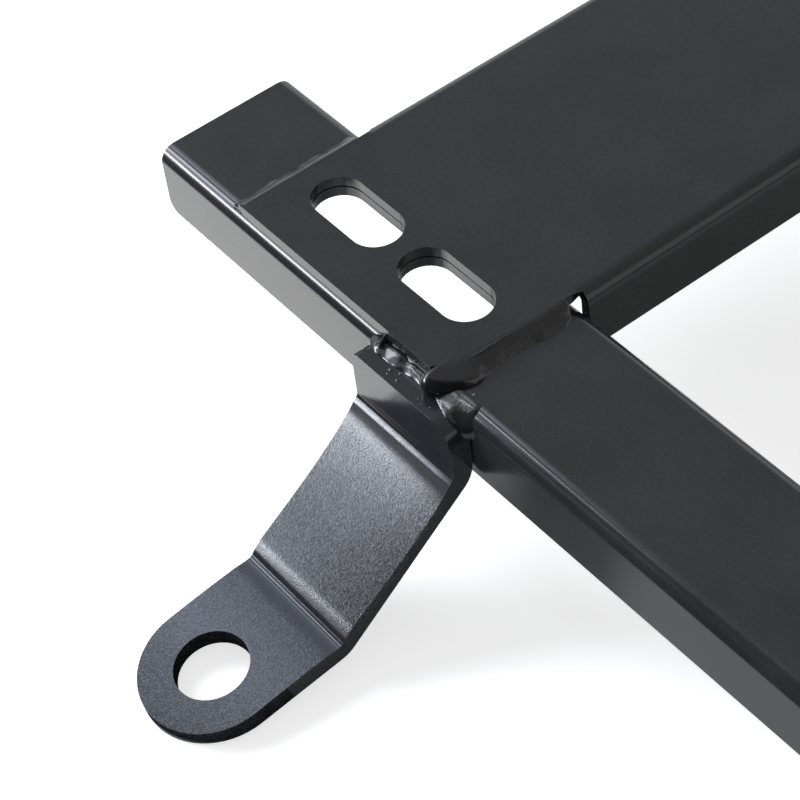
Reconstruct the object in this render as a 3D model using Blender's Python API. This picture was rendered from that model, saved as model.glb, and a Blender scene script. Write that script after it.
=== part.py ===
"""Seat bracket: a welded steel frame that carries a bucket seat above a vehicle's floor.

Two cross channels run from side to side, open underneath. Two wide rails lie over them from front to back,
with folded flanges between the channels and slotted holes above them for the seat's slides. Four bent tabs
stand on the channels' outer faces and bolt the frame to the floor. Weld beads join the pieces.

Metres, +Z up, +X to the right, +Y to the rear. The origin is on the floor below the frame's middle.
"""

import math

import bmesh
import bpy
from mathutils import Matrix, Vector

MM = 0.001

# Sheet and flat bar
SHEET = 2.1 * MM
INSIDE_RADIUS = 1.0 * MM
JOINT_GAP = 0.3 * MM
CHORD_ERROR = 0.03 * MM
WORKING_SCALE = 1000.0

# Cross channels
CHANNEL_LENGTH = 420.0 * MM
CHANNEL_WIDTH = 30.0 * MM
CHANNEL_HEIGHT = 14.4 * MM
CHANNEL_SPACING = 300.0 * MM
CHANNEL_END_CORNER = 2.5 * MM

# Rails
RAIL_WIDTH = 61.4 * MM
RAIL_HEIGHT = 13.0 * MM
RAIL_INSET = 54.0 * MM
TONGUE_STEP = 2.05 * MM
TONGUE_SETBACK = 0.8 * MM
FLANGE_CLEARANCE = 0.9 * MM
BEND_RUNOUT = 2.0 * MM

# Slotted holes for the seat's slides
SLOT_LENGTH = 21.2 * MM
SLOT_WIDTH = 10.1 * MM
SLOT_PITCH = 25.1 * MM
SLOT_INSET = 15.5 * MM

# Floor tabs
TAB_THICKNESS = 4.1 * MM
TAB_WIDTH = 26.6 * MM
TAB_STEP = 5.75 * MM
TAB_TOP_DROP = 1.9 * MM
TAB_UPRIGHT = 10.9 * MM
TAB_SLOPE = 34.4 * MM
TAB_SLOPE_ANGLE = math.radians(38.0)
TAB_FOOT_ANGLE = math.radians(7.3)
TAB_HOLE_REACH = 18.0 * MM
TAB_HOLE_DIAMETER = 13.6 * MM
TAB_INSIDE_RADIUS = 1.5 * MM
TAB_OUTER_CORNER = 2.0 * MM
TAB_INNER_CORNER = 5.0 * MM

# Weld beads: half width, half height and how far the bead's core stands off the edge that it joins
OUTER_WELD = (2.6 * MM, 2.1 * MM)
OUTER_WELD_STANDOFF = 0.7 * MM
INNER_WELD = (2.6 * MM, 2.2 * MM)
INNER_WELD_STANDOFF = 0.9 * MM
TAB_WELD = (2.0 * MM, 1.9 * MM)
CORNER_WELD = (2.2 * MM, 2.1 * MM)

# Sizes that follow
BEND_RADIUS = INSIDE_RADIUS + SHEET
RAIL_X = CHANNEL_LENGTH / 2 - RAIL_INSET
FACE_Y = (CHANNEL_SPACING + CHANNEL_WIDTH) / 2
RAIL_TOP = JOINT_GAP + SHEET
TONGUE_WIDTH = RAIL_WIDTH - 2 * TONGUE_STEP
TAB_OFFSET = TONGUE_WIDTH / 2 - TAB_STEP
FLANGE_HALF_LENGTH = (CHANNEL_SPACING - CHANNEL_WIDTH) / 2 - FLANGE_CLEARANCE
RIGHT_ANGLE = math.radians(90)


def heading_direction(heading):
    """Unit vector (forward, up) that points `heading` below the horizontal."""
    return Vector((math.cos(heading), -math.sin(heading)))


def heading_normal(heading):
    """Unit vector square to the heading, on the side of the top skin."""
    return Vector((math.sin(heading), math.cos(heading)))


def bend_length(angle, radius, thickness):
    """Length of blank that a bend uses, measured at mid thickness."""
    return abs(angle) * (radius + thickness / 2)


def fold(along, depth, thickness, bends, heading=0.0):
    """Where a point of a flat blank goes when the blank is bent, as (forward, up).

    The blank's top skin starts at the origin and runs towards `heading`. Each bend is (start, angle, inside
    radius), in order. A positive angle turns the rest of the blank downwards, a negative one upwards.
    """
    place = Vector((0.0, 0.0))
    reached = 0.0
    for start, angle, radius in bends:
        if along <= start:
            break
        place = place + heading_direction(heading) * (start - reached)
        skin_radius = radius + thickness if angle > 0 else -radius
        centre = place - heading_normal(heading) * skin_radius
        length = bend_length(angle, radius, thickness)
        share = min((along - start) / length, 1.0)
        heading = heading + angle * share
        place = centre + heading_normal(heading) * skin_radius
        reached = start + length * share
    return place + heading_direction(heading) * (along - reached) - heading_normal(heading) * depth


def arc_steps(radius, angle):
    """Number of chords for an arc, so that none leaves it by more than CHORD_ERROR."""
    chord = 2 * math.acos(max(0.0, 1 - CHORD_ERROR / radius))
    return max(2, math.ceil(angle / chord))


def outline(corners):
    """Closed polygon through the corners (x, y, radius), each one rounded by its radius."""
    points = []
    for i, (x, y, radius) in enumerate(corners):
        corner = Vector((x, y))
        back = (Vector(corners[i - 1][:2]) - corner).normalized()
        on = (Vector(corners[(i + 1) % len(corners)][:2]) - corner).normalized()
        if radius == 0:
            points.append(corner)
            continue
        half = back.angle(on) / 2
        centre = corner + (back + on).normalized() * radius / math.sin(half)
        first = corner + back * radius / math.tan(half) - centre
        turn = math.pi - 2 * half
        side = 1 if back.cross(on) < 0 else -1
        steps = arc_steps(radius, turn)
        for k in range(steps + 1):
            points.append(centre + Matrix.Rotation(side * turn * k / steps, 2) @ first)
    kept = [p for i, p in enumerate(points) if (p - points[i - 1]).length > CHORD_ERROR / 10]
    return [tuple(p) for p in kept]


def rectangle(length, width, radius):
    """Corners of a rectangle about the origin, length along X, all rounded alike."""
    x, y = length / 2, width / 2
    return [(-x, -y, radius), (x, -y, radius), (x, y, radius), (-x, y, radius)]


def prism(points, low, high):
    """bmesh of the polygon, extruded along Z from low to high."""
    bm = bmesh.new()
    base = bm.faces.new([bm.verts.new((x, y, low)) for x, y in points])
    top = bmesh.ops.extrude_face_region(bm, geom=[base])
    raised = [v for v in top["geom"] if isinstance(v, bmesh.types.BMVert)]
    bmesh.ops.translate(bm, verts=raised, vec=(0, 0, high - low))
    bmesh.ops.recalc_face_normals(bm, faces=bm.faces)
    return bm


def to_mesh(bm, name):
    """Mesh made from a bmesh, which is freed."""
    bm.normal_update()
    bmesh.ops.recalc_face_normals(bm, faces=bm.faces)
    mesh = bpy.data.meshes.new(name)
    bm.to_mesh(mesh)
    bm.free()
    return mesh


def cut_through(bm, point, normal):
    """Divides the blank's faces along a plane, without parting them."""
    parts = bm.verts[:] + bm.edges[:] + bm.faces[:]
    bmesh.ops.bisect_plane(bm, geom=parts, dist=1e-7, plane_co=point, plane_no=normal)


def score_bend(bm, start, angle, radius, thickness, side=1):
    """Divides the blank across a bend, in strips narrow enough to take the curve."""
    steps = arc_steps(radius + thickness, abs(angle))
    length = bend_length(angle, radius, thickness)
    for k in range(steps + 1):
        cut_through(bm, (side * (start + length * k / steps), 0, 0), (1, 0, 0))


def subtract(mesh, *cutters):
    """The mesh with the volume of every cutter taken away, worked out at a size that keeps small facets apart."""
    scene = bpy.context.scene.collection
    enlarge = Matrix.Scale(WORKING_SCALE, 4)
    mesh.transform(enlarge)
    body = bpy.data.objects.new("body", mesh)
    scene.objects.link(body)
    tools = []
    for cutter in cutters:
        enlarged = cutter.copy()
        enlarged.transform(enlarge)
        tool = bpy.data.objects.new("cutter", enlarged)
        tool.hide_render = True
        tool.display_type = "WIRE"
        scene.objects.link(tool)
        tools.append(tool)
        boolean = body.modifiers.new("cut", "BOOLEAN")
        boolean.operation = "DIFFERENCE"
        boolean.solver = "EXACT"
        boolean.object = tool
    evaluated = body.evaluated_get(bpy.context.evaluated_depsgraph_get())
    result = bpy.data.meshes.new_from_object(evaluated)
    result.transform(enlarge.inverted())
    for temporary in (body, *tools):
        bpy.data.objects.remove(temporary)
    return result


def wall_blank_width(height):
    """Blank needed beyond the start of a square bend, for a wall of that height outside."""
    return bend_length(RIGHT_ANGLE, INSIDE_RADIUS, SHEET) + height - BEND_RADIUS


def score_walls(bm, bend_start):
    """Divides a sheet blank for square bends at both sides."""
    for side in (1, -1):
        score_bend(bm, bend_start, RIGHT_ANGLE, INSIDE_RADIUS, SHEET, side)


def fold_wall(out, depth, bend_start):
    """Where a point of a sheet blank goes when its side is bent square, as (outward, up)."""
    return fold(out, depth, SHEET, [(bend_start, RIGHT_ANGLE, INSIDE_RADIUS)])


def slot_cutter(places, length, width, name):
    """Round-ended prisms through a flat sheet blank, one at each place, as one cutter."""
    whole = bmesh.new()
    for x, y in places:
        bm = prism(outline(rectangle(length, width, SLOT_WIDTH / 2)), -2 * SHEET, SHEET)
        bmesh.ops.translate(bm, verts=bm.verts, vec=(x, y, 0))
        part = to_mesh(bm, name)
        whole.from_mesh(part)
        bpy.data.meshes.remove(part)
    return to_mesh(whole, name)


def punched(blank, cutter):
    """The flat blank as a bmesh, with the cutter's holes punched through it."""
    bm = bmesh.new()
    bm.from_mesh(subtract(to_mesh(blank, "blank"), cutter))
    return bm


def slot_offsets():
    """Distance of each slot's centre from the rail's centre line, towards the frame's middle."""
    first = SLOT_INSET - TONGUE_WIDTH / 2
    return (first, first + SLOT_PITCH)


def channel_mesh():
    """Channel along X, about its own middle, with its top skin at Z = 0."""
    bend_start = CHANNEL_WIDTH / 2 - BEND_RADIUS
    blank_width = 2 * (bend_start + wall_blank_width(CHANNEL_HEIGHT))
    places = [(0, side * (offset - RAIL_X)) for side in (1, -1) for offset in slot_offsets()]
    punch = slot_cutter(places, SLOT_WIDTH, SLOT_LENGTH, "channel_slots")
    blank = prism(outline(rectangle(blank_width, CHANNEL_LENGTH, CHANNEL_END_CORNER)), -SHEET, 0)
    bm = punched(blank, punch)
    score_walls(bm, bend_start)
    for vert in bm.verts:
        across, run, height = vert.co
        out, up = fold_wall(abs(across), -height, bend_start)
        vert.co = (-run, math.copysign(out, across), up)
    return to_mesh(bm, "channel")


def rail_outline():
    """Blank of a rail: plain tongues at both ends, and flanges between them."""
    tongue = TONGUE_WIDTH / 2
    flange = RAIL_WIDTH / 2 - BEND_RADIUS + wall_blank_width(RAIL_HEIGHT)
    end = FACE_Y - TONGUE_SETBACK
    quarter = [(tongue, end, 0), (tongue, FLANGE_HALF_LENGTH, 0), (flange, FLANGE_HALF_LENGTH, 0)]
    upper_right = quarter
    lower_right = [(x, -y, r) for x, y, r in reversed(quarter)]
    lower_left = [(-x, -y, r) for x, y, r in quarter]
    upper_left = [(-x, y, r) for x, y, r in reversed(quarter)]
    return outline(upper_right + lower_right + lower_left + upper_left)


def rail_mesh():
    """Rail along Y, about its own middle, with its underside at Z = 0.

    The bends stop at the flanges' ends, and the sheet between there and the channel runs out to flat.
    """
    bend_start = RAIL_WIDTH / 2 - BEND_RADIUS
    rows = (-CHANNEL_SPACING / 2, CHANNEL_SPACING / 2)
    places = [(offset, row) for offset in slot_offsets() for row in rows]
    punch = slot_cutter(places, SLOT_LENGTH, SLOT_WIDTH, "rail_slots")
    bm = punched(prism(rail_outline(), -SHEET, 0), punch)
    score_walls(bm, bend_start)
    for run in (FLANGE_HALF_LENGTH, FLANGE_HALF_LENGTH + BEND_RUNOUT):
        cut_through(bm, (0, run, 0), (0, 1, 0))
        cut_through(bm, (0, -run, 0), (0, 1, 0))
    for vert in bm.verts:
        across, run, height = vert.co
        out, up = abs(across), height
        if abs(run) < FLANGE_HALF_LENGTH + BEND_RUNOUT / 2:
            out, up = fold_wall(abs(across), -height, bend_start)
        vert.co = (math.copysign(out, across), run, up + SHEET)
    return to_mesh(bm, "rail")


# Everything from here to the welds is in a corner's own frame: +X towards the frame's middle from the rail's
# centre line, +Y inwards from the channel's outer face, +Z up from the channel's top skin.


def tab_bends():
    """Bends of a tab, along its blank from the top edge. Both turn the strip outwards."""
    first_angle = RIGHT_ANGLE - TAB_SLOPE_ANGLE
    second_angle = TAB_SLOPE_ANGLE - TAB_FOOT_ANGLE
    first_lead = TAB_INSIDE_RADIUS * math.tan(first_angle / 2)
    second_lead = TAB_INSIDE_RADIUS * math.tan(second_angle / 2)
    first = TAB_UPRIGHT - first_lead
    first_end = first + bend_length(first_angle, TAB_INSIDE_RADIUS, TAB_THICKNESS)
    second = first_end + TAB_SLOPE - first_lead - second_lead
    return [(first, -first_angle, TAB_INSIDE_RADIUS), (second, -second_angle, TAB_INSIDE_RADIUS)]


def tab_hole_along():
    """Distance of the hole's centre from the top edge, along the blank."""
    start, angle, radius = tab_bends()[-1]
    end = start + bend_length(angle, radius, TAB_THICKNESS)
    return end + TAB_HOLE_REACH - radius * math.tan(abs(angle) / 2)


def tab_point(along, across, depth):
    """Point of a bent tab, in the corner's frame. Depth is below the outer skin."""
    out, up = fold(along, depth, TAB_THICKNESS, tab_bends(), RIGHT_ANGLE)
    return Vector((TAB_OFFSET + across, -(JOINT_GAP + TAB_THICKNESS + out), up - TAB_TOP_DROP))


def tab_mesh():
    """Tab bent from flat bar: a round end with a hole, and rounded top corners."""
    half = TAB_WIDTH / 2
    tip = tab_hole_along() + half
    corners = [
        (0, -half, TAB_OUTER_CORNER),
        (tip, -half, half),
        (tip, half, half),
        (0, half, TAB_INNER_CORNER),
    ]
    hole = rectangle(TAB_HOLE_DIAMETER, TAB_HOLE_DIAMETER, TAB_HOLE_DIAMETER / 2)
    drill = prism(outline(hole), -2 * TAB_THICKNESS, TAB_THICKNESS)
    bmesh.ops.translate(drill, verts=drill.verts, vec=(tab_hole_along(), 0, 0))
    bm = punched(prism(outline(corners), -TAB_THICKNESS, 0), to_mesh(drill, "drill"))
    for start, angle, radius in tab_bends():
        score_bend(bm, start, angle, radius, TAB_THICKNESS)
    for vert in bm.verts:
        along, across, height = vert.co
        vert.co = tab_point(along, across, -height)
    return to_mesh(bm, "tab")


def channel_clearance():
    """Solid outer form of the channel near a corner, larger by the joint's gap."""
    gap = JOINT_GAP
    low = -CHANNEL_HEIGHT - gap
    section = [
        (-gap, low, 0),
        (-gap, gap, BEND_RADIUS + gap),
        (CHANNEL_WIDTH + gap, gap, BEND_RADIUS + gap),
        (CHANNEL_WIDTH + gap, low, 0),
    ]
    bm = prism(outline(section), -RAIL_WIDTH, RAIL_WIDTH)
    for vert in bm.verts:
        y, z, x = vert.co
        vert.co = (x, y, z)
    return to_mesh(bm, "channel_clearance")


def tongue_clearance():
    """Space of the rail's tongue over the channel, larger by the joint's gap."""
    half = TONGUE_WIDTH / 2 + JOINT_GAP
    near, far = TONGUE_SETBACK - JOINT_GAP, CHANNEL_WIDTH + BEND_RADIUS
    corners = [(-half, near, 0), (half, near, 0), (half, far, 0), (-half, far, 0)]
    return to_mesh(prism(outline(corners), -SHEET, RAIL_TOP + JOINT_GAP), "tongue_clearance")


def tab_clearance():
    """Space of a tab's upright part, larger by the joint's gap."""
    gap = JOINT_GAP
    half = TAB_WIDTH / 2 + gap
    top, low = gap - TAB_TOP_DROP, -CHANNEL_HEIGHT
    corners = [
        (TAB_OFFSET - half, low, 0),
        (TAB_OFFSET + half, low, 0),
        (TAB_OFFSET + half, top, TAB_INNER_CORNER + gap),
        (TAB_OFFSET - half, top, TAB_OUTER_CORNER + gap),
    ]
    bm = prism(outline(corners), -TAB_THICKNESS - 2 * gap, 0)
    for vert in bm.verts:
        x, z, y = vert.co
        vert.co = (x, y, z)
    return to_mesh(bm, "tab_clearance")


def smooth(rows, share):
    """Row read at a share of the way along a smooth curve through all the rows."""
    spans = len(rows) - 1
    at = min(share * spans, spans - 1e-9)
    i = int(at)
    t = at - i
    before, start = rows[max(i - 1, 0)], rows[i]
    end, after = rows[i + 1], rows[min(i + 2, spans)]
    blend = []
    for a, b, c, d in zip(before, start, end, after):
        blend.append(b + t / 2 * (c - a + t * (2 * a - 5 * b + 4 * c - d + t * (3 * (b - c) + d - a))))
    return blend


def bead(stations, size, name, grow=0.0, rings=16, sides=10):
    """Closed bead of weld metal with round ends.

    Each station is (x, y, z, swell): a point of the bead's core, and its share of the bead's size there, which
    is (half width, half height). grow makes the whole bead larger, to cut a neighbour clear of it.
    """
    rows = [smooth(stations, (1 - math.cos(math.pi * k / rings)) / 2) for k in range(rings + 1)]
    centres = [Vector(row[:3]) for row in rows]
    travelled = [0.0]
    for before, after in zip(centres, centres[1:]):
        travelled.append(travelled[-1] + (after - before).length)
    half_width, half_height = size
    bm = bmesh.new()
    loops = []
    for k in range(1, rings):
        tangent = (centres[k + 1] - centres[k - 1]).normalized()
        side = tangent.cross(Vector((0, -0.5, 1))).normalized()
        over = side.cross(tangent)
        to_end = min(travelled[k], travelled[-1] - travelled[k])
        closeness = 1 - min(to_end / half_width, 1.0)
        swell = rows[k][3] * math.sqrt(1 - closeness**2)
        loop = []
        for i in range(sides):
            turn = 2 * math.pi * (i + 0.5) / sides
            reach = side * math.cos(turn) * (half_width * swell + grow)
            reach += over * math.sin(turn) * (half_height * swell + grow)
            loop.append(bm.verts.new(centres[k] + reach))
        loops.append(loop)
    for loop, after in zip(loops, loops[1:]):
        for i in range(sides):
            j = (i + 1) % sides
            bm.faces.new((loop[i], loop[j], after[j], after[i]))
    for loop, end, inner in ((loops[0], 0, 1), (loops[-1], -1, -2)):
        outwards = (centres[end] - centres[inner]).normalized()
        pole = bm.verts.new(centres[end] + outwards * grow)
        for i in range(sides):
            bm.faces.new((loop[i], loop[(i + 1) % sides], pole))
    return to_mesh(bm, name)


def level(size, swell):
    """Height of a bead's core that brings its crown level with the rail's top."""
    return RAIL_TOP - size[1] * swell


def outer_weld_stations():
    """Along the rail's outer edge, level with its top and thinning out towards the rear."""
    x = -TONGUE_WIDTH / 2 - OUTER_WELD_STANDOFF
    near, far = TONGUE_SETBACK, CHANNEL_WIDTH - BEND_RADIUS
    swells = (0.9, 1.0, 1.06, 0.98, 1.02, 0.9, 0.8, 0.72)
    last = len(swells) - 1
    return [(x, near + (far - near) * k / last, level(OUTER_WELD, s), s) for k, s in enumerate(swells)]


def inner_weld_stations():
    """Round the rail's near inner corner in a lump, then along its inner edge, level with its top."""
    edge = TONGUE_WIDTH / 2
    x = edge + INNER_WELD_STANDOFF
    near, far = TONGUE_SETBACK, CHANNEL_WIDTH - BEND_RADIUS + TONGUE_SETBACK
    lump = [
        (edge - 3.4 * MM, near - 0.6 * MM, level(INNER_WELD, 0.95), 0.95),
        (edge - 1.8 * MM, near - 0.2 * MM, level(INNER_WELD, 1.15), 1.15),
        (edge - 0.2 * MM, near + 1.2 * MM, level(INNER_WELD, 1.2), 1.2),
        (edge + 0.4 * MM, near + 3.6 * MM, level(INNER_WELD, 1.15), 1.15),
    ]
    swells = (1.08, 1.0, 1.04, 0.92, 0.98, 1.08, 0.96)
    start = near + 7.0 * MM
    last = len(swells) - 1
    return lump + [(x, start + (far - start) * k / last, level(INNER_WELD, s), s) for k, s in enumerate(swells)]


def tab_weld_stations():
    """Three lumps between the tab's top edge and the channel's bend, ahead of the rail's corner."""
    first = TAB_OFFSET - TAB_WIDTH / 2 + 1.2 * MM
    last = TONGUE_WIDTH / 2 - 5.6 * MM
    y, z = -0.4 * MM, -TAB_TOP_DROP + 0.5 * MM
    swells = (0.9, 1.12, 0.84, 1.1, 0.8, 0.9, 0.7)
    steps = len(swells) - 1
    return [(first + (last - first) * k / steps, y, z, swell) for k, swell in enumerate(swells)]


def corner_weld_stations():
    """Over the tab's inner top corner, against the channel's bend."""
    side = TAB_OFFSET + TAB_WIDTH / 2
    top = -TAB_TOP_DROP
    round_off = TAB_INNER_CORNER
    return [
        (side - round_off - 1.6 * MM, -0.2 * MM, top + 0.7 * MM, 0.78),
        (side - 0.7 * round_off, -0.2 * MM, top + 0.7 * MM, 0.92),
        (side - 0.2 * round_off, -0.2 * MM, top + 0.5 * MM, 0.98),
        (side + 0.8 * MM, -0.1 * MM, top + 0.1 * MM, 0.9),
        (side + 1.7 * MM, -0.1 * MM, top - 0.4 * MM, 0.75),
    ]


def weld_meshes():
    """The four beads of one corner, each cut clear of what it joins and of the beads before it."""
    neighbours = [channel_clearance(), tongue_clearance(), tab_clearance()]
    beads = {
        "outer_weld": (outer_weld_stations(), OUTER_WELD),
        "inner_weld": (inner_weld_stations(), INNER_WELD),
        "tab_weld": (tab_weld_stations(), TAB_WELD),
        "corner_weld": (corner_weld_stations(), CORNER_WELD),
    }
    made = {}
    for name, (stations, size) in beads.items():
        made[name] = subtract(bead(stations, size, name), *neighbours)
        neighbours.append(bead(stations, size, name, grow=JOINT_GAP))
    return made


def paint(name, colour, roughness, metallic):
    """Principled material of a coated surface."""
    material = bpy.data.materials.new(name)
    material.use_nodes = True
    shader = material.node_tree.nodes["Principled BSDF"]
    shader.inputs["Base Color"].default_value = (*colour, 1.0)
    shader.inputs["Roughness"].default_value = roughness
    shader.inputs["Metallic"].default_value = metallic
    return material


def place(name, mesh, location, material, parent):
    """Named object with that mesh, shaded smooth but for its real edges."""
    mesh.materials.clear()
    mesh.materials.append(material)
    mesh.shade_smooth()
    mesh.set_sharp_from_angle(angle=math.radians(35))
    piece = bpy.data.objects.new(name, mesh)
    bpy.context.scene.collection.objects.link(piece)
    piece.parent = parent
    piece.location = location
    return piece


def turned(mesh, side, end):
    """Copy of a corner's mesh for the corner at that side (-1 left, 1 right) and end (-1 front, 1 rear)."""
    copy = mesh.copy()
    copy.transform(Matrix.Diagonal((-side, -end, 1, 1)))
    if side * end < 0:
        copy.flip_normals()
    return copy


def build():
    """Clears the scene and makes the whole bracket."""
    for old in list(bpy.data.objects):
        bpy.data.objects.remove(old)

    frame = bpy.data.objects.new("seat_bracket", None)
    bpy.context.scene.collection.objects.link(frame)
    lowest = tab_point(tab_hole_along() + TAB_WIDTH / 2, 0, TAB_THICKNESS).z
    frame.location = (0, 0, -lowest)

    channel_paint = paint("channel_paint", (0.040, 0.041, 0.044), 0.34, 0.0)
    rail_paint = paint("rail_paint", (0.036, 0.037, 0.039), 0.36, 0.0)
    tab_paint = paint("tab_paint", (0.060, 0.065, 0.072), 0.42, 0.0)
    weld_paint = paint("weld_paint", (0.038, 0.039, 0.041), 0.26, 0.0)

    sides = {"left": -1, "right": 1}
    ends = {"front": -1, "rear": 1}

    channel = channel_mesh()
    for end_name, end in ends.items():
        location = (0, end * CHANNEL_SPACING / 2, 0)
        place(f"{end_name}_channel", turned(channel, end, end), location, channel_paint, frame)

    rail = rail_mesh()
    for side_name, side in sides.items():
        location = (side * RAIL_X, 0, JOINT_GAP)
        place(f"{side_name}_rail", turned(rail, side, side), location, rail_paint, frame)

    tab = tab_mesh()
    welds = weld_meshes()
    for end_name, end in ends.items():
        for side_name, side in sides.items():
            corner = f"{end_name}_{side_name}"
            location = (side * RAIL_X, end * FACE_Y, 0)
            place(f"{corner}_tab", turned(tab, side, end), location, tab_paint, frame)
            for weld_name, weld in welds.items():
                place(f"{corner}_{weld_name}", turned(weld, side, end), location, weld_paint, frame)


build()
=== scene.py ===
"""Seat bracket in powder-coated steel: finer pieces, coats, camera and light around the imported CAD."""

import math

import bmesh
import bpy
import numpy as np
from mathutils import Euler, Matrix, Vector


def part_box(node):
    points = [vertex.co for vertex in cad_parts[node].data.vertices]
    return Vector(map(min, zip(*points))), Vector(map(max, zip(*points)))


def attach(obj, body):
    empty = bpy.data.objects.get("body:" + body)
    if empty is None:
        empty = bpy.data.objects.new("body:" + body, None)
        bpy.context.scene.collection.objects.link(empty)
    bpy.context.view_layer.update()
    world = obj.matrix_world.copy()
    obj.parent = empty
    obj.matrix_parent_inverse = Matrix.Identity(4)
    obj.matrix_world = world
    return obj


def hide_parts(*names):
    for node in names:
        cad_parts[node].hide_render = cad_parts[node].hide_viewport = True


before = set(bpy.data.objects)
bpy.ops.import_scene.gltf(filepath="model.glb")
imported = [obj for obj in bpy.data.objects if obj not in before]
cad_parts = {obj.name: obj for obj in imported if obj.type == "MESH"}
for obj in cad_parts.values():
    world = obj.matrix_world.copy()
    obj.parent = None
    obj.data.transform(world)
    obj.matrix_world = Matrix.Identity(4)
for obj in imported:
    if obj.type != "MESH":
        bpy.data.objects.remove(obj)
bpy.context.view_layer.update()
scene = bpy.context.scene
MM = 0.001
CORNERS = [("front_left", -1, -1), ("front_right", 1, -1), ("rear_left", -1, 1), ("rear_right", 1, 1)]

# Sizes in millimetres, as in the part's source
JOINT_GAP = 0.3
TONGUE = 28.65
PLATE_TOP = 2.4
RAIL = {
    "width": 61.4, "height": 13.0, "end": 164.2, "flange": 134.1, "runout": 2.0,
    "sheet": 2.1, "inside": 1.0,
}
SLOT = {"length": 21.2, "width": 10.1, "places": (-13.15, 11.95), "row": 150.0}
MELTED = [(25.4, 0.8), (TONGUE, 8.2)]
TAB_TOP = -1.9
TAB = {
    "thickness": 4.1, "width": 26.6, "offset": 22.9, "outer_corner": 2.0, "inner_corner": 5.0, "hole": 13.6,
    "hole_along": 66.137, "bends": [(10.168, -0.9076, 1.5), (46.647, -0.5358, 1.5)],
}
EDGE = {"channel": 0.35, "rail": 0.5, "tab": 0.45}

# Scales of the coat's patterns, per metre
CLOUD_SCALE = 60.0
PEEL_SCALE = 520.0
SPECK_SCALE = 4600.0

# Camera at the photograph's angle
lens = bpy.data.cameras.new("camera")
lens.lens = 122.0
lens.sensor_width = 36.0
lens.shift_x = -0.0055
lens.shift_y = -0.009
lens.clip_start = 0.01
camera = bpy.data.objects.new("camera", lens)
camera.location = (0.131432, -0.334726, 0.366754)
camera.rotation_euler = Euler([math.radians(a) for a in (43.367, 5.581, 51.939)])
scene.collection.objects.link(camera)
scene.camera = camera
scene.view_settings.view_transform = "Standard"


class Nodes:
    """Short way to make and join shader nodes."""

    def __init__(self, tree):
        self.tree = tree

    def put(self, socket, value):
        if isinstance(value, bpy.types.NodeSocket):
            self.tree.links.new(value, socket)
        else:
            socket.default_value = value

    def new(self, kind, **values):
        node = self.tree.nodes.new(kind)
        for key, value in values.items():
            self.put(node.inputs[key.replace("_", " ")], value)
        return node

    def noise(self, where, scale, detail=2.0, roughness=0.5):
        node = self.new("ShaderNodeTexNoise", Vector=where, Scale=scale, Detail=detail, Roughness=roughness)
        return node.outputs["Fac"]

    def ramp(self, factor, low, high, start, end):
        limits = {"From_Min": low, "From_Max": high, "To_Min": start, "To_Max": end}
        node = self.new("ShaderNodeMapRange", Value=factor, **limits)
        return node.outputs["Result"]

    def math(self, operation, *values):
        node = self.new("ShaderNodeMath")
        node.operation = operation
        for socket, value in zip(node.inputs, values):
            self.put(socket, value)
        return node.outputs[0]

    def blend(self, factor, a, b):
        node = self.new("ShaderNodeMix")
        node.data_type = "RGBA"
        for socket, value in zip((node.inputs[0], node.inputs[6], node.inputs[7]), (factor, a, b)):
            self.put(socket, value)
        return node.outputs[2]

    def bump(self, height, distance, normal=None):
        node = self.new("ShaderNodeBump", Height=height, Distance=distance)
        if normal is not None:
            self.put(node.inputs["Normal"], normal)
        return node.outputs["Normal"]


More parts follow.
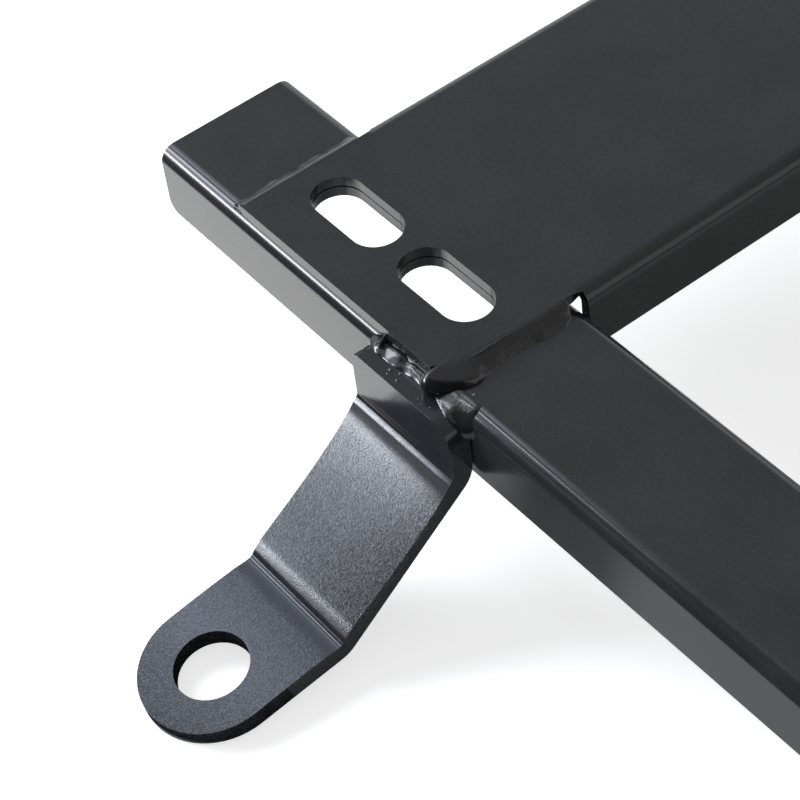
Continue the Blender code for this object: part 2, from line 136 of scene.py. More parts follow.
def coat(name, dark, light, roughness, grain, peel, masked=False, grain_scale=1900.0,
         specks=(0.35, 0.65), share=0.45, tint=(1, 1, 1)):
    """Powder coat: orange peel, fine grain, uneven colour and gloss, and a thinner, lighter film on the edges,
    whose lighter speckled colour is both coat wear and a painted edge highlight.

    Roughness and grain (mm) are each a pair: on plain ground, and where the mesh's own grain value is 1. A
    masked coat reads that value. Specks are the tones at which the colour is all dark and all light, share
    is how much of the tone is specks and not cloud, and tint colours the gloss.
    """
    material = bpy.data.materials.new(name)
    material.use_nodes = True
    n = Nodes(material.node_tree)
    shader = material.node_tree.nodes["Principled BSDF"]
    where = n.new("ShaderNodeTexCoord").outputs["Object"]
    cloud = n.noise(where, CLOUD_SCALE, 3.0)
    fine = n.noise(where, grain_scale, 1.0, 0.7)
    waves = n.noise(where, PEEL_SCALE, 2.0, 0.5)
    cells = fine
    if masked:
        cells = n.new("ShaderNodeTexVoronoi", Vector=where, Scale=SPECK_SCALE).outputs["Color"]
    # Tone mixes random cloud with specks; on the tab and the spatter the light specks are painted glints, not
    # only random tone
    tone = n.math("ADD", n.math("MULTIPLY", cloud, 1 - share), n.math("MULTIPLY", cells, share))
    tone = n.ramp(tone, *specks, 0.0, 1.0)
    if masked:
        attribute = n.new("ShaderNodeAttribute")
        attribute.attribute_name = "grain"
        mask = attribute.outputs["Fac"]
        tone = n.math("ADD", n.math("MULTIPLY", tone, mask), n.ramp(mask, 0.0, 1.0, 0.2, 0.0))
    colour = n.blend(tone, (*dark, 1), (*light, 1))
    rounded = n.new("ShaderNodeBevel", Radius=0.5 * MM)
    rounded.samples = 4
    flat = n.new("ShaderNodeVectorMath")
    flat.operation = "DOT_PRODUCT"
    n.put(flat.inputs[0], rounded.outputs["Normal"])
    n.put(flat.inputs[1], n.new("ShaderNodeNewGeometry").outputs["Normal"])
    # Lighter speckled colour on the rounded edges: thinner coat, and a painted edge highlight
    edge_band = n.ramp(flat.outputs["Value"], 0.985, 0.90, 0.0, 1.0)
    wear_and_edge_highlight = n.math("MULTIPLY", edge_band, n.ramp(fine, 0.45, 0.62, 0.0, 0.5))
    n.put(shader.inputs["Base Color"], n.blend(wear_and_edge_highlight, colour, (0.10, 0.10, 0.105, 1)))
    shine = n.ramp(cloud, 0.3, 0.7, roughness[0] - 0.02, roughness[0] + 0.02)
    height = n.math("MULTIPLY", fine, grain[0] * MM)
    if masked:
        shine = n.math("ADD", shine, n.math("MULTIPLY", mask, roughness[1] - roughness[0]))
        height = n.math("MULTIPLY", fine, n.ramp(mask, 0.0, 1.0, grain[0] * MM, grain[1] * MM))
    n.put(shader.inputs["Roughness"], shine)
    shader.inputs["Metallic"].default_value = 0.0
    shader.inputs["Specular Tint"].default_value = (*tint, 1)
    n.put(shader.inputs["Normal"], n.bump(height, 1.0, n.bump(waves, peel * MM)))
    return material


coats = {
    "channel": coat("channel_coat", (0.020, 0.021, 0.023), (0.031, 0.032, 0.035),
                    roughness=(0.15, 0), grain=(0.001, 0), peel=0.005),
    "rail": coat("rail_coat", (0.019, 0.020, 0.021), (0.029, 0.030, 0.032),
                 roughness=(0.16, 0), grain=(0.003, 0), peel=0.008),
    # The tab coat's light, bluish specks are painted glints of its grain, laid over random tone
    "tab": coat("tab_coat_painted_glints", (0.007, 0.007, 0.008), (0.088, 0.094, 0.110),
                roughness=(0.14, 0.21), grain=(0.0, 0.034), peel=0.012, masked=True, grain_scale=3000.0,
                specks=(0.38, 0.76), share=0.85, tint=(0.90, 0.94, 1.0)),
    # The spatter's light grey is a painted glint on the balls
    "spatter": coat("spatter_painted_glint", (0.16, 0.16, 0.165), (0.34, 0.34, 0.35),
                    roughness=(0.16, 0), grain=(0.004, 0), peel=0.0),
    "weld": coat("weld_coat", (0.017, 0.017, 0.018), (0.030, 0.030, 0.032),
                 roughness=(0.16, 0.34), grain=(0.01, 0.20), peel=0.025, masked=True),
}


def soften(node, width):
    """Joins the node's split corners and flat facets, and rounds its edges as the coat does."""
    weld = node.modifiers.new("join", "WELD")
    weld.merge_threshold = 0.005 * MM
    flat = node.modifiers.new("flat", "DECIMATE")
    flat.decimate_type = "DISSOLVE"
    flat.angle_limit = math.radians(1.0)
    round_off(node, width, 40)


def round_off(item, width, angle):
    """Rounds the edges that turn by more than the angle."""
    edge = item.modifiers.new("edge", "BEVEL")
    edge.width = width * MM
    edge.segments = 3
    edge.limit_method = "ANGLE"
    edge.angle_limit = math.radians(angle)
    shade = item.modifiers.new("shade", "WEIGHTED_NORMAL")
    shade.keep_sharp = False


for name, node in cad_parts.items():
    kind = next(k for k in ("weld", "channel", "rail", "tab") if name.endswith(k))
    node.data.materials.clear()
    node.data.materials.append(coats[kind])
    if kind == "channel":
        soften(node, EDGE[kind])


# Places of the pieces
def corner_place(side, end):
    """Matrix from a corner's own frame, in millimetres, to the row frame.

    X runs from the rail's centre line towards the frame's middle, Y inwards from the channel's outer face, and
    Z up from the channel's top.
    """
    low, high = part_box(("left" if side < 0 else "right") + "_rail")
    near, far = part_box(("front" if end < 0 else "rear") + "_channel")
    y = near.y if end < 0 else far.y
    place = Matrix.Translation(((low.x + high.x) / 2, y, far.z))
    return place @ Matrix.Diagonal((-side * MM, -end * MM, MM, 1))


def add_piece(mesh, matrix, material):
    """Object made from a mesh in a corner's frame, riding on the bracket."""
    mesh.transform(matrix)
    if matrix.determinant() < 0:
        mesh.flip_normals()
    mesh.materials.append(material)
    mesh.shade_smooth()
    made = bpy.data.objects.new(mesh.name, mesh)
    scene.collection.objects.link(made)
    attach(made, "root")
    return made


# Bent bar: a flat blank is outlined, punched, divided across its bends and folded
def outline(corners):
    """Closed polygon through the corners (x, y, radius), each one rounded by its radius."""
    points = []
    for i, (x, y, radius) in enumerate(corners):
        corner = Vector((x, y))
        if radius == 0:
            points.append(corner)
            continue
        back = (Vector(corners[i - 1][:2]) - corner).normalized()
        on = (Vector(corners[(i + 1) % len(corners)][:2]) - corner).normalized()
        half = back.angle(on) / 2
        centre = corner + (back + on).normalized() * radius / math.sin(half)
        first = corner + back * radius / math.tan(half) - centre
        turn = math.pi - 2 * half
        side = 1 if back.cross(on) < 0 else -1
        steps = max(4, round(turn / math.radians(6)))
        for k in range(steps + 1):
            points.append(centre + Matrix.Rotation(side * turn * k / steps, 2) @ first)
    return [tuple(p) for i, p in enumerate(points) if (p - points[i - 1]).length > 0.003]


def rectangle(length, width, radius, x=0.0, y=0.0):
    """Corners of a rounded rectangle about (x, y)."""
    a, b = length / 2, width / 2
    return [(x - a, y - b, radius), (x + a, y - b, radius), (x + a, y + b, radius), (x - a, y + b, radius)]


def prism(points, low, high):
    """Upright solid on a closed outline, as a bmesh."""
    bm = bmesh.new()
    base = bm.faces.new([bm.verts.new((x, y, low)) for x, y in points])
    top = bmesh.ops.extrude_face_region(bm, geom=[base])
    raised = [v for v in top["geom"] if isinstance(v, bmesh.types.BMVert)]
    bmesh.ops.translate(bm, verts=raised, vec=(0, 0, high - low))
    bmesh.ops.recalc_face_normals(bm, faces=bm.faces)
    return bm


def to_object(bm, name):
    """Object made from a bmesh, which is freed."""
    mesh = bpy.data.meshes.new(name)
    bm.to_mesh(mesh)
    bm.free()
    made = bpy.data.objects.new(name, mesh)
    scene.collection.objects.link(made)
    return made


def blank(corners, thickness, holes):
    """Flat blank with its top skin at Z = 0, with the holes punched through it, as a bmesh."""
    body = to_object(prism(outline(corners), -thickness, 0.0), "blank")
    tools = []
    for hole in holes:
        tool = to_object(prism(outline(hole), -2 * thickness, thickness), "punch")
        cut = body.modifiers.new("cut", "BOOLEAN")
        cut.operation = "DIFFERENCE"
        cut.solver = "EXACT"
        cut.object = tool
        tools.append(tool)
    made = bpy.data.meshes.new_from_object(body.evaluated_get(bpy.context.evaluated_depsgraph_get()))
    for temporary in (body, *tools):
        bpy.data.objects.remove(temporary)
    bm = bmesh.new()
    bm.from_mesh(made)
    bpy.data.meshes.remove(made)
    return bm


def score(bm, places, axis=(1, 0, 0)):
    """Divides the blank across the axis at each place."""
    for place in places:
        parts = bm.verts[:] + bm.edges[:] + bm.faces[:]
        bmesh.ops.bisect_plane(bm, geom=parts, dist=1e-5, plane_co=Vector(axis) * place, plane_no=axis)


def fold(along, depth, thickness, bends, heading=0.0):
    """Where a point of a flat blank goes when it is bent, as (forward, up). Positive angles turn it down."""
    place, reached = Vector((0.0, 0.0)), 0.0
    for start, angle, radius in bends:
        if along <= start:
            break
        place += Vector((math.cos(heading), -math.sin(heading))) * (start - reached)
        skin = radius + thickness if angle > 0 else -radius
        centre = place - Vector((math.sin(heading), math.cos(heading))) * skin
        length = abs(angle) * (radius + thickness / 2)
        share = min((along - start) / length, 1.0)
        heading += angle * share
        place = centre + Vector((math.sin(heading), math.cos(heading))) * skin
        reached = start + length * share
    ahead = Vector((math.cos(heading), -math.sin(heading)))
    normal = Vector((math.sin(heading), math.cos(heading)))
    return place + ahead * (along - reached) - normal * depth


# Press marks: extra tilt of a tab's top skin in degrees, by distance along the blank
TILTS = [
    (0, 0), (13.1, 0), (13.4, 6.5), (14.0, 6.5), (14.3, 15), (15.0, 13), (17.0, 7.5), (19.0, 4.5),
    (21.5, 2.5), (24, 1), (27, -0.5), (30, -1.5), (36, -3.5), (42.8, -4), (44.4, 5), (45.6, 7),
    (46.0, 17), (46.6, 17), (46.75, 0), (48.6, 0), (49.2, -6), (50.6, -6), (51.8, -2), (56, -0.5),
    (64, 1.5), (72, 3.0), (90, 3.5),
]
# How grainy the coat is there, and how strongly its light specks, painted glints, show: smooth on the upright
# part and in the creases
GRAINS = [
    (0, 0.1), (15.5, 0.1), (19.0, 1), (42.5, 1), (44.5, 0.4), (46.5, 0.1), (49.6, 0.1), (51.5, 0.7),
    (90, 0.7),
]
ALONG_STEP = 0.05
ALONG = np.arange(0.0, 90.0, ALONG_STEP)
SUNK = np.cumsum(np.tan(np.radians(np.interp(ALONG, *zip(*TILTS))))) * ALONG_STEP


def tab_mesh(name):
    """Tab bent from bar, with the press's marks in its top skin."""
    half, thick = TAB["width"] / 2, TAB["thickness"]
    tip = TAB["hole_along"] + half
    corners = [(0, -half, TAB["outer_corner"]), (tip, -half, half - 0.001), (tip, half, half - 0.001)]
    corners.append((0, half, TAB["inner_corner"]))
    hole = rectangle(TAB["hole"], TAB["hole"], TAB["hole"] / 2 - 0.001, TAB["hole_along"], 0.0)
    bm = blank(corners, thick, [hole])
    lines = set(np.arange(9.0, 20.0, 0.2).round(2)) | set(np.arange(41.0, 56.0, 0.2).round(2))
    lines |= set(np.arange(20.0, 41.0, 1.5).round(2)) | set(np.arange(57.0, 79.0, 2.0))
    for start, angle, radius in TAB["bends"]:
        lines |= {start, start + abs(angle) * (radius + thick / 2)}
    score(bm, sorted(lines))
    grain = bm.verts.layers.float.new("grain")
    for vert in bm.verts:
        along, across, depth = vert.co.x, vert.co.y, -vert.co.z
        if depth < thick / 2:
            vert[grain] = float(np.interp(along, *zip(*GRAINS)))
            depth += float(np.interp(along, ALONG, SUNK))
        out, up = fold(along, depth, thick, TAB["bends"], math.pi / 2)
        vert.co = (TAB["offset"] + across, -(JOINT_GAP + thick + out), up + TAB_TOP)
    bmesh.ops.recalc_face_normals(bm, faces=bm.faces)
    mesh = bpy.data.meshes.new(name)
    bm.to_mesh(mesh)
    bm.free()
    return mesh


def rail_mesh(name):
    """Rail about the middle of its top, X towards the frame's middle, inner corners melted into the beads."""
    bend = RAIL["inside"] + RAIL["sheet"]
    start = RAIL["width"] / 2 - bend
    used = math.pi / 2 * (RAIL["inside"] + RAIL["sheet"] / 2)
    half, end, flange = start + used + RAIL["height"] - bend, RAIL["end"], RAIL["flange"]
    face = end + MELTED[0][1]
    inner = [(x, face - y) for x, y in MELTED] + [(TONGUE, flange), (half, flange)]
    outer = [(-TONGUE, end), (-TONGUE, flange), (-half, flange)]
    corners = inner + [(x, -y) for x, y in reversed(inner)] + [(x, -y) for x, y in outer] + outer[::-1]
    radius = SLOT["width"] / 2 - 0.001
    holes = [rectangle(SLOT["length"], SLOT["width"], radius, x, y) for x in SLOT["places"]
             for y in (-SLOT["row"], SLOT["row"])]
    bm = blank([(x, y, 0) for x, y in corners], RAIL["sheet"], holes)
    score(bm, [side * (start + used * k / 14) for side in (1, -1) for k in range(15)])
    score(bm, [side * (flange + more) for side in (1, -1) for more in (0.0, RAIL["runout"])], (0, 1, 0))
    for vert in bm.verts:
        out, up = abs(vert.co.x), vert.co.z
        if abs(vert.co.y) < flange + RAIL["runout"] / 2:
            out, up = fold(out, -up, RAIL["sheet"], [(start, math.pi / 2, RAIL["inside"])])
        vert.co.x, vert.co.z = math.copysign(out, vert.co.x), up
    bmesh.ops.recalc_face_normals(bm, faces=bm.faces)
    mesh = bpy.data.meshes.new(name)
    bm.to_mesh(mesh)
    bm.free()
    return mesh


# Weld beads: fields of distance that run out of the steel beside them, meshed where they are zero
def smooth_step(x, start, end):
    """0 before the start, 1 past the end, and eased between them."""
    t = np.clip((x - start) / (end - start), 0, 1)
    return t * t * (3 - 2 * t)


def meet(a, b, k):
    """Common part of two fields, with the edge between them rounded by about k."""
    h = np.maximum(k - np.abs(a - b), 0) / k
    return np.maximum(a, b) + h * h * k / 4


def join(a, b, k):
    """Union of two fields, with a fillet of about k."""
    return -meet(-a, -b, k)


def capsule(p, a, b, ra, rb):
    """Distance from a tapered rod with round ends."""
    a, b = np.array(a, float), np.array(b, float)
    along = np.clip(((p - a) @ (b - a)) / ((b - a) @ (b - a)), 0, 1)
    return np.linalg.norm(p - a - along[..., None] * (b - a), axis=-1) - (ra + (rb - ra) * along)


def ripple(p, seed, scale, count=7):
    """Smooth random field, about -1 to 1."""
    draw = np.random.default_rng(seed)
    total = np.zeros(p.shape[:-1])
    for _ in range(count):
        wave = draw.normal(size=3)
        wave *= 2 * np.pi / scale * draw.uniform(0.6, 1.4) / np.linalg.norm(wave)
        total += np.sin(p @ wave + draw.uniform(0, 2 * np.pi))
    return total / math.sqrt(count)


def curve(x, points):
    """Value at x of a line through the points, with its corners eased."""
    xs, ys = zip(*points)
    return sum(np.interp(x + shift, xs, ys) for shift in (-0.9, -0.45, 0, 0.45, 0.9)) / 5


def polygon(p, corners):
    """Distance in plan from a closed outline, negative inside."""
    q = p[..., :2]
    corners = np.array(corners, float)
    nearest = np.full(q.shape[:-1], 1e9)
    inside = np.zeros(q.shape[:-1], bool)
    for a, b in zip(corners, np.roll(corners, -1, 0)):
        along = np.clip(((q - a) @ (b - a)) / ((b - a) @ (b - a)), 0, 1)
        nearest = np.minimum(nearest, np.linalg.norm(q - a - along[..., None] * (b - a), axis=-1))
        spans = (a[1] > q[..., 1]) != (b[1] > q[..., 1])
        rise = b[1] - a[1] if b[1] != a[1] else 1e-9
        inside ^= spans & (q[..., 0] < a[0] + (q[..., 1] - a[1]) * (b[0] - a[0]) / rise)
    return np.where(inside, -nearest, nearest)


def net(field, low, high, step):
    """Closed mesh of the surface where the field is zero, as (points, quads)."""
    counts = [int(math.ceil((b - a) / step)) + 3 for a, b in zip(low, high)]
    axes = [a - step + step * np.arange(n) for a, n in zip(low, counts)]
    grid = np.stack(np.meshgrid(*axes, indexing="ij"), -1)
    f = field(grid)
    for axis in range(3):
        edge = [slice(None)] * 3
        for end in (0, -1):
            edge[axis] = end
            f[tuple(edge)] = np.maximum(f[tuple(edge)], step)
    inside = f < 0
    total = np.zeros((*(n - 1 for n in counts), 3))
    hits = np.zeros(total.shape[:3], int)
    crossed = []
    for axis in range(3):
        first, second = [slice(None)] * 3, [slice(None)] * 3
        first[axis], second[axis] = slice(0, -1), slice(1, None)
        a, b = f[tuple(first)], f[tuple(second)]
        where = np.argwhere(inside[tuple(first)] != inside[tuple(second)])
        i, j, k = where.T
        point = grid[i, j, k].copy()
        point[:, axis] += a[i, j, k] / (a[i, j, k] - b[i, j, k]) * step
        others = [o for o in range(3) if o != axis]
        ring = []
        for da, db in ((0, 0), (-1, 0), (-1, -1), (0, -1)):
            cell = where.copy()
            cell[:, others[0]] += da
            cell[:, others[1]] += db
            np.add.at(total, tuple(cell.T), point)
            np.add.at(hits, tuple(cell.T), 1)
            ring.append(cell)
        crossed.append((ring, inside[i, j, k] == (axis == 1)))
    used = np.argwhere(hits > 0)
    number = -np.ones(hits.shape, int)
    number[tuple(used.T)] = np.arange(len(used))
    points = total[tuple(used.T)] / hits[tuple(used.T)][:, None]
    quads = []
    for ring, flip in crossed:
        corners = np.stack([number[tuple(cell.T)] for cell in ring], 1)
        corners[flip] = corners[flip][:, ::-1]
        quads.append(corners)
    return points, np.concatenate(quads)


# Inner bead: its outline in plan, the lines of its toe and brow, and its height over the plate between them
INNER_PLAN = [
    (24.4, 27.6), (23.2, 3.0), (23.9, 0.9), (24.1, -0.6), (24.9, -1.7), (26.0, -2.3), (27.2, -2.0),
    (28.5, -1.1), (29.7, 0.3), (30.7, 1.7), (31.6, 3.1), (32.2, 4.9), (32.1, 6.6), (31.6, 9.0),
    (31.3, 11.3), (31.2, 14.3), (31.8, 17.7), (32.7, 20.8), (32.4, 24.5), (31.4, 26.6), (29.4, 27.6),
]
INNER_TOE = [
    (-3, 31.2), (5, 32.3), (9, 31.7), (14.3, 31.2), (17.7, 31.8), (21, 32.7), (24.5, 32.3), (28, 31.8),
]
INNER_BROW = [(-3, 26.6), (8.6, 26.8), (13.4, 27.5), (18.7, 27.8), (21.0, 28.2), (28, 27.8)]
BANK = [
    (-1, -0.4), (0, 0.0), (0.15, 0.05), (0.3, -0.10), (0.5, -0.75), (0.75, -1.7), (1, -2.44), (1.3, -3.2),
]


def inner_field(p, seed):
    """Fillet along the plate's inner edge, and the tongue of metal that flows round its near corner."""
    x, y, z = p[..., 0], p[..., 1], p[..., 2]
    plan = polygon(p, INNER_PLAN)
    bead = smooth_step(y, 3.5, 9.0)
    outward = (x - 26.0) * 0.9 - (y - 0.8) * 0.43
    fall = np.maximum(outward + 0.4, 0)
    (ax, ay), (bx, by) = MELTED
    sheet = np.minimum(y - ay, ((y - ay) * (bx - ax) - (x - ax) * (by - ay)) / math.hypot(bx - ax, by - ay))
    flow = PLATE_TOP + 0.03 - 0.36 * fall * fall / (fall + 1.1) - 0.06 * smooth_step(sheet, 0.6, 2.6)
    toe, brow = curve(y, INNER_TOE), curve(y, INNER_BROW)
    share = np.clip((x - brow) / (toe - brow), -1, 1.3)
    bank = PLATE_TOP + np.interp(share, *zip(*BANK))
    lower = smooth_step(share, 0.2, 0.5)
    short_wave = 0.05 * np.sin(y * 1.4 + 4.0 * share + seed)
    long_wave = 0.05 * np.sin(y * 0.8 - 6.0 * share + seed)
    bank = bank + lower * (short_wave + long_wave)
    top = flow * (1 - bead) + bank * bead
    rough = smooth_step(share, 0.45, 0.9) * (0.02 * ripple(p, seed, 1.2) + 0.04 * ripple(p, seed + 9, 3.0))
    under = 0.16 * np.clip(0.7 - z, 0, 3) ** 2 * (1 - bead)
    body = meet((z - top) * 0.85, plan + under, 1.8 + 2.0 * smooth_step(-x, -27.5, -25.0) - 1.4 * bead)
    return np.maximum(body + rough * bead, -1.6 - z)


def outer_field(p, seed):
    """Low fillet along the plate's outer edge."""
    x, y, z = p[..., 0], p[..., 1], p[..., 2]
    reach = -32.4 - 0.25 * np.sin(y * 0.7 + seed) - 0.12 * np.sin(y * 1.9 + 2 * seed)
    share = np.clip((x - reach) / (-TONGUE - reach), 0, 2)
    top = np.interp(share, [0, 0.3, 0.65, 0.93, 1.05, 1.4], [0.0, 0.85, 1.75, 2.36, 2.43, 2.3])
    waves = 0.05 * np.sin(share * 11.0) + 0.04 * np.sin(y * 1.1 + 2.0 * share)
    top = top + smooth_step(1 - share, 0.05, 0.3) * waves
    ends = np.maximum(1.2 - y, y - 27.2)
    body = meet((z - top) * 0.82, np.maximum(ends, reach - x), 0.7)
    rough = 0.015 * ripple(p, seed, 1.6) + 0.03 * ripple(p, seed + 5, 4.0)
    body = body + smooth_step(1 - share, 0.1, 0.3) * rough
    return np.maximum(np.maximum(body, x + 27.4), -0.8 - z)


# Bead on the tab's top: the line of its toe and its height, by X
TAB_TOE = [
    (9.4, -0.2), (10.4, -1.2), (11.6, -1.75), (13.2, -2.05), (14.9, -1.6), (16.8, -1.75), (18.4, -1.5),
    (20.2, -1.15), (22.8, -1.2), (24.5, -1.2),
]
TAB_RISE = [
    (9.4, 0.5), (10.8, 1.2), (12.6, 1.6), (14.8, 0.95), (17.0, 1.5), (19.3, 0.95), (21.6, 1.35), (24.5, 1.2),
]


def tab_field(p, seed):
    """Three lumps between the tab's top and the channel, ahead of the plate."""
    x, y, z = p[..., 0], p[..., 1], p[..., 2]
    toe = curve(x, TAB_TOE)
    share = np.clip((y - toe) / (0.9 - toe), 0, 1)
    top = TAB_TOP - 0.08 + curve(x, TAB_RISE) * (1 - (1 - share) ** 1.7)
    ends = np.maximum(np.maximum(9.7 - x, x - 25.0), np.maximum(toe - y, y - 3.0))
    body = meet((z - top) * 0.7, ends, 0.5)
    lip = capsule(p, (13.2, 0.7, 0.9), (12.9, 0.0, -0.8), 0.26, 0.5)
    body = join(body, lip, 0.6) + 0.02 * ripple(p, seed, 1.7) + 0.05 * ripple(p, seed + 3, 3.4)
    return np.maximum(body, -4.2 - z)


# Mound: the line of its toe, by X
MOUND_TOE = [(27, -0.8), (29.5, -1.4), (31.5, -2.1), (33.5, -2.4), (35.2, -1.9), (36.4, -0.8), (38, 0.2)]


def corner_field(p, seed):
    """Smooth mound over the tab's inner top corner, up to the channel's bend."""
    x, y, z = p[..., 0], p[..., 1], p[..., 2]
    toe = curve(x, MOUND_TOE)
    rise = smooth_step(y, -1.8, 2.5)
    sag = 0.10 * np.maximum(x - 31.6, 0) ** 2
    top = -1.80 + 1.86 * rise - sag * (1 - rise) ** 2
    body = meet((z - top) * 0.9, np.maximum(27.6 - x, x - 37.4), 1.6)
    body = meet(body, np.maximum(toe - y, y - 3.3), 0.6)
    body = body + 0.008 * ripple(p, seed, 2.2) + 0.03 * ripple(p, seed + 3, 4.5)
    return np.maximum(body, -5.4 - z)


# Each bead's field, and the box that it is meshed in
WELDS = {
    "outer_weld": (outer_field, (-33.4, 0.4, -1.0), (-27.2, 28.0, 2.8)),
    "inner_weld": (inner_field, (23.4, -2.9, -1.9), (33.6, 28.0, 2.9)),
    "tab_weld": (tab_field, (9.2, -2.9, -4.4), (25.4, 3.3, 1.9)),
    "corner_weld": (corner_field, (27.2, -3.0, -5.6), (38.0, 4.0, 0.6)),
}
NET_STEP = 0.2

# Spatter: place and radius of each ball on the steel
SPATTER = [
    (10.9, -2.6, -1.9, 0.26), (13.2, -0.9, -0.4, 0.22), (17.9, -2.3, -1.9, 0.30), (19.8, -1.6, -1.9, 0.26),
    (20.6, -3.0, -1.9, 0.26), (18.3, -3.2, -1.9, 0.2), (31.0, 3.5, 0.2, 0.24), (33.6, 3.4, 0.0, 0.28),
    (26.4, -3.0, -1.9, 0.16), (29.3, -2.8, -1.9, 0.16), (27.6, -3.4, -1.9, 0.14),
]


def bead_grain(points):
    """Grainy towards the toe of the inner bead, slightly so on the mound, smooth elsewhere."""
    x, y = points[:, 0], points[:, 1]
    toe = curve(y, INNER_TOE)
    inner = smooth_step(x, toe - 2.2, toe - 0.8) * smooth_step(y, 6.0, 10.0) * smooth_step(-y, -26.0, -22.0)
    mound = 0.15 * smooth_step(x, 28.0, 31.0) * smooth_step(-points[:, 2], -0.2, 0.6)
    return np.maximum(inner, mound)


def bead_piece(name, field, low, high, matrix):
    """Object of a bead, with its own grain values."""
    points, quads = net(field, low, high, NET_STEP)
    mesh = bpy.data.meshes.new(name)
    mesh.from_pydata([tuple(p) for p in points], [], [tuple(q) for q in quads])
    grain = mesh.attributes.new("grain", "FLOAT", "POINT")
    grain.data.foreach_set("value", bead_grain(points).astype(np.float32))
    return add_piece(mesh, matrix, coats["weld"])


def spatter_piece(name, matrix):
    """Object of a corner's spatter balls."""
    ball = bmesh.new()
    for x, y, z, radius in SPATTER:
        place = Matrix.Translation((x, y, z))
        bmesh.ops.create_icosphere(ball, subdivisions=2, radius=radius, matrix=place)
    mesh = bpy.data.meshes.new(name)
    ball.to_mesh(mesh)
    ball.free()
    return add_piece(mesh, matrix, coats["spatter"])


for side, side_name in ((-1, "left"), (1, "right")):
    low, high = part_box(f"{side_name}_rail")
    middle = Matrix.Translation(((low.x + high.x) / 2, (low.y + high.y) / 2, high.z))
    matrix = middle @ Matrix.Diagonal((-side * MM, MM, MM, 1))
    rail = add_piece(rail_mesh(f"{side_name}_rail_folded"), matrix, coats["rail"])
    soften(rail, EDGE["rail"])
    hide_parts(f"{side_name}_rail")

for number, (corner, side, end) in enumerate(CORNERS):
    matrix = corner_place(side, end)
    tab = add_piece(tab_mesh(f"{corner}_tab_bent"), matrix, coats["tab"])
    round_off(tab, EDGE["tab"], 50)
    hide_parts(f"{corner}_tab")
    for place, (kind, (field, low, high)) in enumerate(WELDS.items()):
        seed = 1 + 4 * number + place
        made = bead_piece(f"{corner}_{kind}_bead", lambda p: field(p, seed), low, high, matrix)
        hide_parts(f"{corner}_{kind}")
    spatter_piece(f"{corner}_spatter", matrix)


# Floor, world, lamps and the cards that only reflections see
def stage_mesh(name, points, faces, fill):
    """Stage piece whose material is filled in by a function of (nodes, shader)."""
    mesh = bpy.data.meshes.new(name)
    mesh.from_pydata(points, [], faces)
    material = bpy.data.materials.new(f"{name}_look")
    material.use_nodes = True
    n = Nodes(material.node_tree)
    fill(n, material.node_tree.nodes["Principled BSDF"])
    mesh.materials.append(material)
    made = bpy.data.objects.new(name, mesh)
    scene.collection.objects.link(made)
    return made


def seen(n, camera, glossy, other):
    """Strength for what the camera sees, for reflections, and for everything else."""
    path = n.new("ShaderNodeLightPath")
    direct = n.math("MAXIMUM", path.outputs["Is Camera Ray"], path.outputs["Is Transmission Ray"])
    value = n.ramp(direct, 0.0, 1.0, other, camera)
    shine = n.math("MULTIPLY", path.outputs["Is Glossy Ray"], glossy - other)
    return n.math("ADD", value, shine)


# Strength of the floor for the camera and in reflections
FLOOR_WHITE = 0.70
FLOOR_GLOSS = 0.08


def floor_look(n, shader):
    shader.inputs["Base Color"].default_value = (0.80, 0.80, 0.80, 1)
    shader.inputs["Roughness"].default_value = 0.9
    shader.inputs["Specular IOR Level"].default_value = 0.0
    shader.inputs["Emission Color"].default_value = (1, 1, 1, 1)
    n.put(shader.inputs["Emission Strength"], seen(n, FLOOR_WHITE, FLOOR_GLOSS, 0.0))


def card_look(level, colour):
    def fill(n, shader):
        shader.inputs["Base Color"].default_value = (0, 0, 0, 1)
        shader.inputs["Specular IOR Level"].default_value = 0.0
        shader.inputs["Emission Color"].default_value = (*colour, 1)
        shader.inputs["Emission Strength"].default_value = level
    return fill


def quad(name, corners, level, colour=(1, 1, 1)):
    """Card that only reflections see: a glowing card is a painted reflection of light, a black one a painted
    dark reflection, and neither lights nor shades anything.
    """
    card = stage_mesh(name, corners, [(0, 1, 2, 3)], card_look(level, colour))
    card.visible_camera = False
    card.visible_diffuse = False
    card.visible_transmission = False
    card.visible_volume_scatter = False
    card.visible_shadow = False


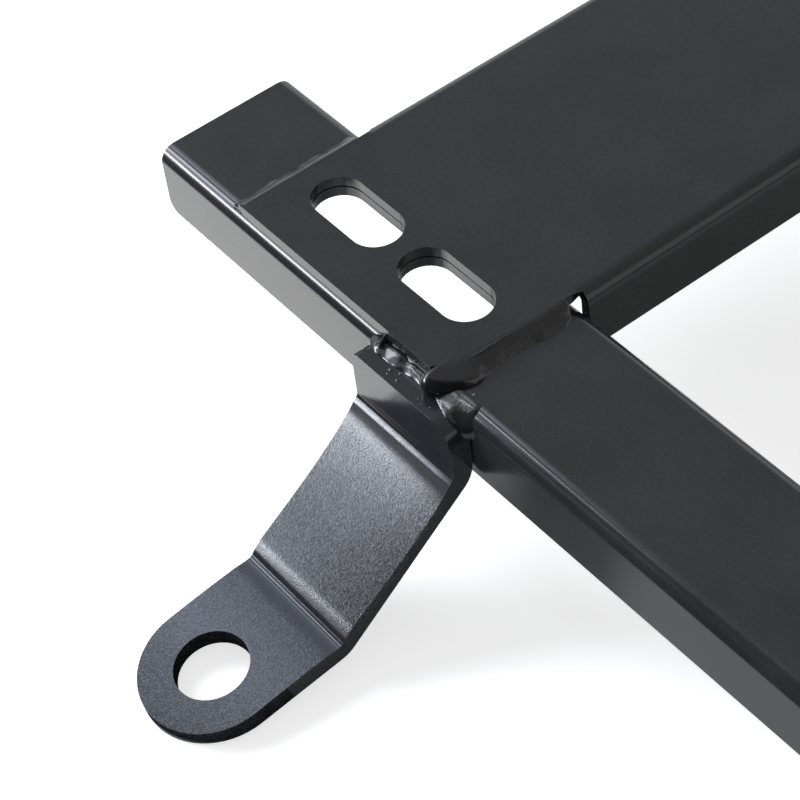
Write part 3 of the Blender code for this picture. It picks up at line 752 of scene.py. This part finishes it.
SKY = (0.78, 0.84, 1)
stage_mesh("floor", [(-4, -4, 0), (4, -4, 0), (4, 4, 0), (-4, 4, 0)], [(0, 1, 2, 3)], floor_look)
quad("dark_board",
     [(-1.6, -0.206, 0.001), (0.9, -0.206, 0.001), (0.9, -0.24, 0.001), (-1.6, -0.24, 0.001)],
     0.0)
quad("dark_bank",
     [(-1.6, -0.24, 0.001), (0.9, -0.24, 0.001), (0.9, -0.60, 0.095), (-1.6, -0.60, 0.095)],
     0.0)
quad("bright_board",
     [(-0.32, -0.204, 0.001), (-0.165, -0.204, 0.001), (-0.165, -0.167, 0.001), (-0.32, -0.167, 0.001)],
     1.9)
quad("dim_ceiling",
     [(-1.5, -0.5, 0.9), (1.1, -0.5, 0.9), (1.1, 1.3, 0.9), (-1.5, 1.3, 0.9)],
     0.45)
quad("sky_card",
     [(-0.95, -0.26, 0.66), (-0.95, -0.11, 0.66), (-0.62, -0.11, 0.86), (-0.62, -0.26, 0.86)],
     4.2, SKY)
quad("sky_edge",
     [(-0.95, -0.11, 0.66), (-0.95, 0.09, 0.66), (-0.62, 0.09, 0.86), (-0.62, -0.11, 0.86)],
     2.0, SKY)
quad("black_flag",
     [(-0.176, -0.236, 0.045), (0.6, -0.236, 0.045), (0.6, -0.236, 0.31), (-0.176, -0.236, 0.31)],
     0.0)

world = bpy.data.worlds.new("studio")
scene.world = world
world.use_nodes = True
w = Nodes(world.node_tree)
back = world.node_tree.nodes["Background"]
back.inputs["Color"].default_value = (1, 1, 1, 1)
w.put(back.inputs["Strength"], seen(w, 1.0, 1.0, 0.25))


def lamp(name, place, target, size, power, colour=(1, 1, 1)):
    """Rectangular lamp that points at the target."""
    light = bpy.data.lights.new(name, "AREA")
    light.shape = "RECTANGLE"
    light.size, light.size_y = size
    light.energy = power
    light.color = colour
    lit = bpy.data.objects.new(name, light)
    scene.collection.objects.link(lit)
    lit.location = place
    lit.rotation_euler = (Vector(target) - Vector(place)).to_track_quat("-Z", "Y").to_euler()


AIM = (-0.13, -0.18, 0.03)
lamp("key", (-1.05, -0.90, 0.45), AIM, (0.56, 0.17), 7.5, (0.95, 0.97, 1.0))
lamp("glow", (-1.03, -0.88, 0.60), AIM, (0.52, 0.14), 0.8, (0.80, 0.88, 1.0))
lamp("window", (-1.09, -0.90, 0.75), AIM, (0.62, 0.50), 1.0, (0.66, 0.78, 1.0))
lamp("side", (-1.2, -0.45, 0.95), (-0.13, -0.18, 0), (0.7, 0.7), 15.0, (0.90, 0.95, 1.0))
